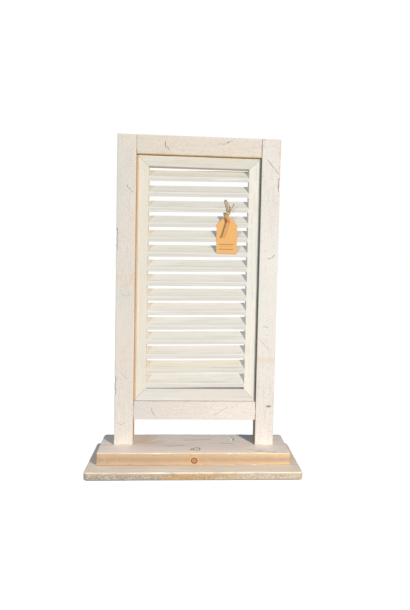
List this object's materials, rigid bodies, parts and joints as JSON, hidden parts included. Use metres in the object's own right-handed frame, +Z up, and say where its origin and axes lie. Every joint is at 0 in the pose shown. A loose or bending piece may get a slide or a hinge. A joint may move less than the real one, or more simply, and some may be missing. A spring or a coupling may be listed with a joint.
{
  "type": "free-standing louvred window shutter",
  "caption": "Decorative whitewashed louvred shutter in a square frame, standing on a stepped two-board foot, with a blank card tag tied to its fixed slats.",
  "frame": {"origin": "middle of the underside of the base plate, on the surface that the shutter stands on", "axes": "+X the viewer's right, +Y away from the viewer, so the front faces -Y, +Z up"},
  "size_m": [0.44, 0.175, 0.7],
  "materials": {
    "frame_wood": "whitewashed, worn, matt",
    "panel_wood": "whitewashed, matt",
    "slat_wood": "whitewashed, matt",
    "foot_wood": "whitewashed top, raw pine edges",
    "card": "kraft card, matt",
    "jute": "twisted jute, hairy"
  },
  "bodies": {
    "root": {"base_plate": "foot_wood", "plinth_board": "foot_wood", "left_post": "frame_wood", "right_post": "frame_wood", "top_rail": "frame_wood", "bottom_rail": "frame_wood", "left_stile": "panel_wood", "right_stile": "panel_wood", "panel_head": "panel_wood", "panel_sill": "panel_wood", "slat_01": "slat_wood", "slat_02": "slat_wood", "slat_03": "slat_wood", "slat_04": "slat_wood", "slat_05": "slat_wood", "slat_06": "slat_wood", "slat_07": "slat_wood", "slat_08": "slat_wood", "slat_09": "slat_wood", "slat_10": "slat_wood", "slat_11": "slat_wood", "slat_12": "slat_wood", "slat_13": "slat_wood", "slat_14": "slat_wood", "slat_15": "slat_wood", "hang_tag": "card", "twine": "jute"}
  },
  "joints": []
}
